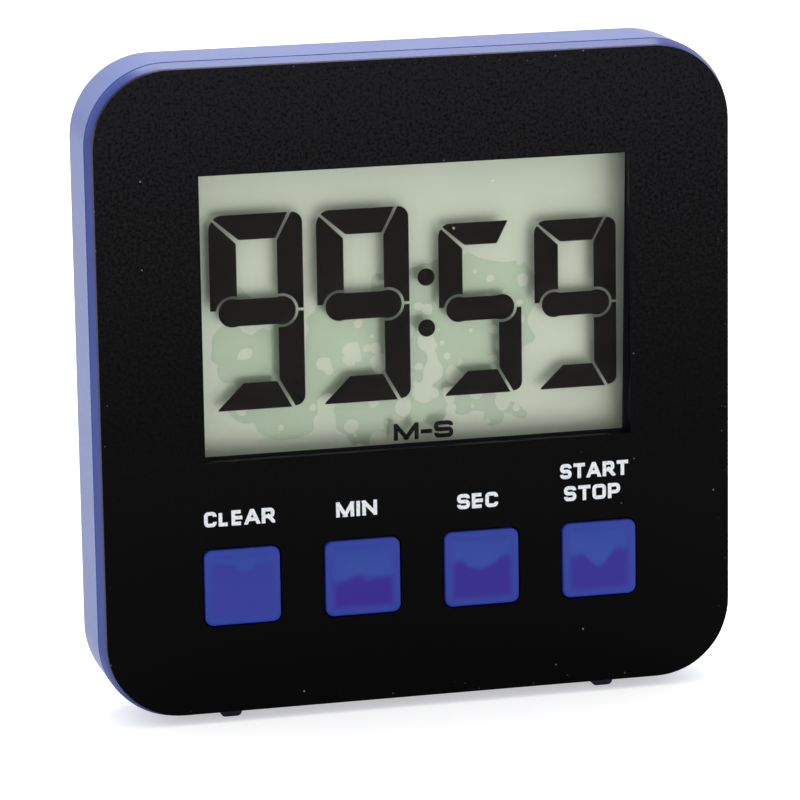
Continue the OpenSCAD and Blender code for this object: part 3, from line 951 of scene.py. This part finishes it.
def addSlab(bm, corners, front, back):
    # a closed outline in X and Z drawn out in depth; each corner is x, z and its radius
    verts = [bm.verts.new(facePoint(x, front, z)) for x, z, radius in corners]
    radii = [radius for x, z, radius in corners]
    face = bm.faces.new(verts)
    bm.normal_update()
    if face.normal.y > 0:
        face.normal_flip()
    drawn = bmesh.ops.extrude_face_region(bm, geom=[face])
    far = [g for g in drawn["geom"] if isinstance(g, bmesh.types.BMVert)]
    bmesh.ops.translate(bm, vec=(0, (back - front) * mm, 0), verts=far)
    for vert, radius in zip(verts, radii):
        if radius and vert.is_valid:
            side = [e for e in vert.link_edges if e.other_vert(vert) in far]
            bmesh.ops.bevel(
                bm, geom=side, offset=radius * mm, affect="EDGES", segments=8, profile=0.5, material=-1
            )
            far = [v for v in bm.verts if abs(v.co.y - faceY - back * mm) < 1e-8]


def newSlab(corners, front, back):
    bm = bmesh.new()
    addSlab(bm, corners, front, back)
    bmesh.ops.recalc_face_normals(bm, faces=bm.faces)
    return bm


def addRound(bm, x, z, radius, front, back):
    # a short round bar facing the front
    turn = Matrix.Rotation(math.pi / 2, 4, "X")
    place = Matrix.Translation(facePoint(x, (front + back) / 2, z)) @ turn
    bmesh.ops.create_cone(
        bm,
        cap_ends=True,
        segments=64,
        radius1=radius * mm,
        radius2=radius * mm,
        depth=(back - front) * mm,
        matrix=place,
    )


digitShown = {
    "9": ("top", "upLeft", "upRight", "middle", "lowRight", "bottom"),
    "5": ("top", "upLeft", "middle", "lowRight", "bottom"),
}


def digitOutlines(left, base, wide, high):
    # outlines of the six strokes that are ever shown, each corner with its radius
    look = segmentLook
    sx = wide / look["width"]
    sz = high / look["height"]
    w, h = look["width"], look["height"]
    mid = h / 2
    slit = look["gap"] / 2
    inner = w - look["right"]
    plans = {
        "top": [
            (0.55, h - 0.42, 0.1),
            (1.05, h, 0.55),
            (w - 1.72, h, 0),
            (inner - 0.2, h - look["topBar"], 0),
            (look["left"] + 0.32, h - look["topBar"], 0),
        ],
        "upLeft": [
            (0, mid + 0.35, 0),
            (0, h - 1.02, 0.75),
            (0.4, h - 0.68, 0.1),
            (look["left"], h - look["topBar"] - 0.42, 0),
            (look["left"], mid + 0.35, 0),
        ],
        "upRight": [
            (w - 1.28, h, 0),
            (w, h, 1.25),
            (w, mid + slit, 0),
            (inner, mid + slit, 0),
            (inner, h - look["topBar"] - 0.28, 0),
        ],
        "lowRight": [
            (inner, mid - slit, 0),
            (w, mid - slit, 0),
            (w, 0.12, 1.2),
            (w - 1.2, 0.12, 0.15),
            (inner, look["lowBar"] + 0.22, 0),
        ],
        "bottom": [
            (look["left"] + 0.57, look["lowBar"], 0),
            (inner - 0.3, look["lowBar"], 0),
            (w - 1.57, 0, 0),
            (0.55, 0, 0.3),
        ],
    }
    return {
        key: [(left + x * sx, base + z * sz, r * sx) for x, z, r in corners]
        for key, corners in plans.items()
    }


def makeDigit(name, digit, left, base, wide, high):
    outlines = digitOutlines(left, base, wide, high)
    whole = bmesh.new()
    for key in digitShown[digit]:
        if key == "middle":
            continue
        part = newSlab(outlines[key], segmentFront, segmentBack)
        if key in ("upLeft", "upRight", "lowRight"):
            target = scratchObject(part)
            part = cutPill(target, left, base, wide, high)
        mesh = bpy.data.meshes.new("part")
        part.to_mesh(mesh)
        part.free()
        whole.from_mesh(mesh)
        bpy.data.meshes.remove(mesh)
    middle = unitePill(left, base, wide, high, 0, segmentFront, segmentBack)
    whole.from_mesh(middle)
    bpy.data.meshes.remove(middle)
    newPiece(name, whole, segmentInk, "case")


def unitePill(left, base, wide, high, grow, front, back):
    # discs and bar joined into one closed shape
    look = segmentLook
    sx = wide / look["width"]
    sz = high / look["height"]
    radius = look["midHalf"] * sx
    x0 = left + look["midLeft"] * sx + radius
    x1 = left + look["midRight"] * sx - radius
    z = base + high / 2
    half = look["barHalf"] * sz + grow
    shapes = []
    for x in (x0, x1):
        bm = bmesh.new()
        addRound(bm, x, z, radius + grow, front, back)
        shapes.append(scratchObject(bm))
    corners = [(x0, z - half, 0), (x1, z - half, 0), (x1, z + half, 0), (x0, z + half, 0)]
    shapes.append(scratchObject(newSlab(corners, front, back)))
    return joinShapes(shapes)


def cutPill(target, left, base, wide, high):
    look = segmentLook
    mesh = unitePill(left, base, wide, high, look["gap"], segmentFront - 1, segmentBack + 1)
    cutter = bpy.data.objects.new("cutter", mesh)
    bpy.context.scene.collection.objects.link(cutter)
    bm = cutMesh(target, cutter)
    dropScratch(cutter)
    dropScratch(target)
    return bm


segmentInk = segmentFinish("segmentInk")
# name, digit, left edge, width and height
digitPlaces = (
    ("tensMinutes", "9", -23.86, 11.0, 22.85),
    ("unitMinutes", "9", -11.24, 10.95, 22.75),
    ("tensSeconds", "5", 3.23, 9.9, 20.35),
    ("unitSeconds", "9", 14.74, 9.9, 20.05),
)
digitBase = -2.6
for name, digit, left, wide, high in digitPlaces:
    makeDigit(name + "Digit", digit, left, digitBase, wide, high)

colonLook = {"x": 1.72, "upper": 11.64, "lower": 5.63, "radius": 1.02}
dots = bmesh.new()
for z in (colonLook["upper"], colonLook["lower"]):
    addRound(dots, colonLook["x"], z, colonLook["radius"], segmentFront, segmentBack)
newPiece("colonDots", dots, segmentInk, "case")
print("display segments made")


# each letter is a width and its strokes, whose points run from 0 to 1 across and up;
# a stroke marked round has its corners rounded, and a slanted one runs on past its ends
letterPlans = {
    "A": (1.8, [
        ("slant", (0.0, 0.0), (0.44, 1.0)),
        ("slant", (0.56, 1.0), (1.0, 0.0)),
        ("plain", (0.2, 0.28), (0.8, 0.28)),
    ]),
    "C": (1.5, [
        ("round", (1.0, 0.72), (1.0, 1.0), (0.0, 1.0), (0.0, 0.0), (1.0, 0.0), (1.0, 0.28)),
    ]),
    "E": (1.35, [
        ("plain", (1.0, 1.0), (0.0, 1.0), (0.0, 0.0), (1.0, 0.0)),
        ("plain", (0.0, 0.5), (0.95, 0.5)),
    ]),
    "I": (0.45, [("plain", (0.5, 0.0), (0.5, 1.0))]),
    "L": (1.3, [("plain", (0.0, 1.0), (0.0, 0.0), (1.0, 0.0))]),
    "M": (1.95, [
        ("plain", (0.0, 0.0), (0.0, 1.0)),
        ("plain", (1.0, 0.0), (1.0, 1.0)),
        ("slant", (0.03, 1.0), (0.5, 0.0)),
        ("slant", (0.5, 0.0), (0.97, 1.0)),
    ]),
    "N": (1.6, [
        ("plain", (0.0, 0.0), (0.0, 1.0)),
        ("plain", (1.0, 0.0), (1.0, 1.0)),
        ("slant", (0.02, 1.0), (0.98, 0.0)),
    ]),
    "O": (1.65, [("ring", (0.0, 0.0), (1.0, 0.0), (1.0, 1.0), (0.0, 1.0))]),
    "P": (1.5, [
        ("round", (0.0, 1.0), (1.0, 1.0), (1.0, 0.4), (0.0, 0.4)),
        ("plain", (0.0, 0.0), (0.0, 1.0)),
    ]),
    "R": (1.6, [
        ("round", (0.0, 1.0), (0.95, 1.0), (0.95, 0.42), (0.0, 0.42)),
        ("plain", (0.0, 0.0), (0.0, 1.0)),
        ("slant", (0.55, 0.42), (1.0, 0.0)),
    ]),
    "S": (1.5, [
        (
            "round",
            (1.0, 0.76),
            (1.0, 1.0),
            (0.0, 1.0),
            (0.0, 0.5),
            (1.0, 0.5),
            (1.0, 0.0),
            (0.0, 0.0),
            (0.0, 0.24),
        ),
    ]),
    "T": (1.5, [
        ("plain", (0.0, 1.0), (1.0, 1.0)),
        ("plain", (0.5, 0.0), (0.5, 1.0)),
    ]),
    "-": (0.9, [("plain", (0.0, 0.42), (1.0, 0.42))]),
}
wordLook = {
    "weight": 0.43,
    "markWeight": 0.5,
    "gap": 0.24,
    "corner": 0.3,
    "run": 0.3,
    "thick": 0.02,
    "trimRoom": 1,
}
printedWords = {
    "CLEAR": (-21.6, -14.57, 8.35, 1.8),
    "MIN": (-7.73, -14.54, 4.88, 1.8),
    "SEC": (6.79, -14.66, 4.94, 1.8),
    "START": (20.97, -11.97, 8.3, 1.8),
    "STOP": (20.7, -14.66, 6.85, 1.8),
}
secondsMark = {"text": "M-S", "place": (1.15, -6.5, 7.15, 2.0)}


def makeStroke(kind, points, weight, depths):
    # a line of the letter drawn out in depth as a ribbon, then given its weight on both sides
    front, back = depths
    bm = bmesh.new()
    verts = [bm.verts.new(facePoint(x, front, z)) for x, z in points]
    for first, second in zip(verts, verts[1:]):
        bm.edges.new((first, second))
    if kind == "ring":
        bm.edges.new((verts[-1], verts[0]))
    if kind in ("round", "ring"):
        turns = [v for v in verts if len(v.link_edges) == 2]
        bmesh.ops.bevel(
            bm,
            geom=turns,
            offset=wordLook["corner"] * mm,
            affect="VERTICES",
            segments=5,
            profile=0.5,
            material=-1,
        )
    drawn = bmesh.ops.extrude_edge_only(bm, edges=list(bm.edges))
    far = [g for g in drawn["geom"] if isinstance(g, bmesh.types.BMVert)]
    bmesh.ops.translate(bm, vec=(0, (back - front) * mm, 0), verts=far)
    bmesh.ops.recalc_face_normals(bm, faces=bm.faces)
    ribbon = scratchObject(bm)
    swell = ribbon.modifiers.new("swell", "SOLIDIFY")
    swell.thickness = weight * mm
    swell.offset = 0
    swell.use_even_offset = True
    shown = bpy.context.evaluated_depsgraph_get()
    solid = bmesh.new()
    solid.from_mesh(ribbon.evaluated_get(shown).to_mesh())
    bmesh.ops.recalc_face_normals(solid, faces=solid.faces)
    dropScratch(ribbon)
    return scratchObject(solid)


def makeWord(name, text, place, depths, weight, material):
    look = wordLook
    middleX, middleZ, wide, high = place
    widths = [letterPlans[letter][0] for letter in text]
    share = (wide - look["gap"] * (len(text) - 1)) / sum(widths)
    bottom = middleZ - (high - weight) / 2
    left = middleX - wide / 2
    strokes = []
    for letter, width in zip(text, widths):
        span = max(width * share - weight, 0)
        for kind, *points in letterPlans[letter][1]:
            spots = [(left + weight / 2 + x * span, bottom + z * (high - weight)) for x, z in points]
            if kind in ("slant", "plain") and len(spots) == 2:
                (x0, z0), (x1, z1) = spots
                length = math.hypot(x1 - x0, z1 - z0)
                run = (look["run"] if kind == "slant" else weight / 2) / length
                spots = [
                    (x0 - (x1 - x0) * run, z0 - (z1 - z0) * run),
                    (x1 + (x1 - x0) * run, z1 + (z1 - z0) * run),
                ]
            strokes.append(makeStroke(kind, spots, weight, depths))
        left += width * share + look["gap"]
    corners = [
        (middleX - wide / 2, middleZ - high / 2, 0),
        (middleX + wide / 2, middleZ - high / 2, 0),
        (middleX + wide / 2, middleZ + high / 2, 0),
        (middleX - wide / 2, middleZ + high / 2, 0),
    ]
    room = look["trimRoom"]
    box = scratchObject(newSlab(corners, depths[0] - room, depths[1] + room))
    mesh = joinShapes(strokes, box)
    bm = bmesh.new()
    bm.from_mesh(mesh)
    bpy.data.meshes.remove(mesh)
    newPiece(name, bm, material, "case")


whitePrint = printFinish("whitePrint")
for text, place in printedWords.items():
    depths = (-wordLook["thick"], 0)
    name = "label" + text.title()
    makeWord(name, text, place, depths, wordLook["weight"], whitePrint)
makeWord(
    "minutesSecondsMark",
    secondsMark["text"],
    secondsMark["place"],
    (segmentFront, segmentBack),
    wordLook["markWeight"],
    segmentInk,
)
print("lettering made")


studio = {
    "floorSize": 8,
    "floorColour": (0.78, 0.78, 0.785),
    "floorShown": 0.5,  # added to the floor where the camera sees it
    "dark": 0.74,
    "top": 1.05,
    "behind": 1.32,
    "climbFrom": 0.12,  # height in the sky where it starts to brighten
    "climbTo": 0.6,
    "boxSize": 0.5,
    "boxPower": 4.0,
    "boxPlace": (0.05, 0.35, 0.75),
    "toneShare": 0.99,
}


def makeWorld():
    look = studio
    world = bpy.data.worlds.new("studioWorld")
    bpy.context.scene.world = world
    world.use_nodes = True
    tree = world.node_tree
    background = tree.nodes["Background"]
    place = addNode(tree, "ShaderNodeTexCoord").outputs["Generated"]
    axes = addNode(tree, "ShaderNodeSeparateXYZ", {"Vector": place})
    start, stop = look["climbFrom"], look["climbTo"]
    climb = addRange(tree, axes.outputs["Z"], start, stop, look["dark"], look["top"], smooth=True)
    behind = addRange(tree, axes.outputs["Y"], -0.35, 0.15, smooth=True)
    glow = addMath(
        tree,
        "ADD",
        addMath(tree, "MULTIPLY", behind, look["behind"]),
        addMath(tree, "MULTIPLY", addMath(tree, "SUBTRACT", 1.0, behind), climb),
    )
    seen = addNode(tree, "ShaderNodeLightPath").outputs["Is Camera Ray"]
    strength = addMath(
        tree, "ADD", addMath(tree, "MULTIPLY", glow, addMath(tree, "SUBTRACT", 1.0, seen)), seen
    )
    background.inputs["Color"].default_value = (1, 1, 1, 1)
    tree.links.new(strength, background.inputs["Strength"])


def makeSoftBox():
    data = bpy.data.lights.new("softBox", "AREA")
    data.shape = "SQUARE"
    data.size = studio["boxSize"]
    data.energy = studio["boxPower"]
    light = bpy.data.objects.new("softBox", data)
    bpy.context.scene.collection.objects.link(light)
    spot = Vector(studio["boxPlace"])
    aim = Vector((0, 0, faceZ))
    light.location = spot
    light.rotation_euler = (aim - spot).to_track_quat("-Z", "Y").to_euler()


def makeFloor():
    bm = bmesh.new()
    bmesh.ops.create_grid(bm, x_segments=1, y_segments=1, size=studio["floorSize"] / 2)
    mesh = bpy.data.meshes.new("floor")
    bm.to_mesh(mesh)
    bm.free()
    made, tree, shader = newMaterial("paleFloor", {"Roughness": 0.7, "Specular IOR Level": 0.2})
    tone = placeGroup(tree, slowTone, {"Scale": 6})
    pale = studio["floorColour"]
    colour = addMix(tree, tone["Mask"], pale, tuple(studio["toneShare"] * c for c in pale))
    tree.links.new(colour, shader.inputs["Base Color"])
    shader.inputs["Emission Color"].default_value = (1, 1, 1, 1)
    seen = addNode(tree, "ShaderNodeLightPath").outputs["Is Camera Ray"]
    glow = addMath(tree, "MULTIPLY", seen, studio["floorShown"])
    tree.links.new(glow, shader.inputs["Emission Strength"])
    mesh.materials.append(made)
    floor = bpy.data.objects.new("floor", mesh)
    bpy.context.scene.collection.objects.link(floor)


makeWorld()
makeSoftBox()
makeFloor()
bpy.context.scene.view_settings.view_transform = "Standard"
print("studio ready")
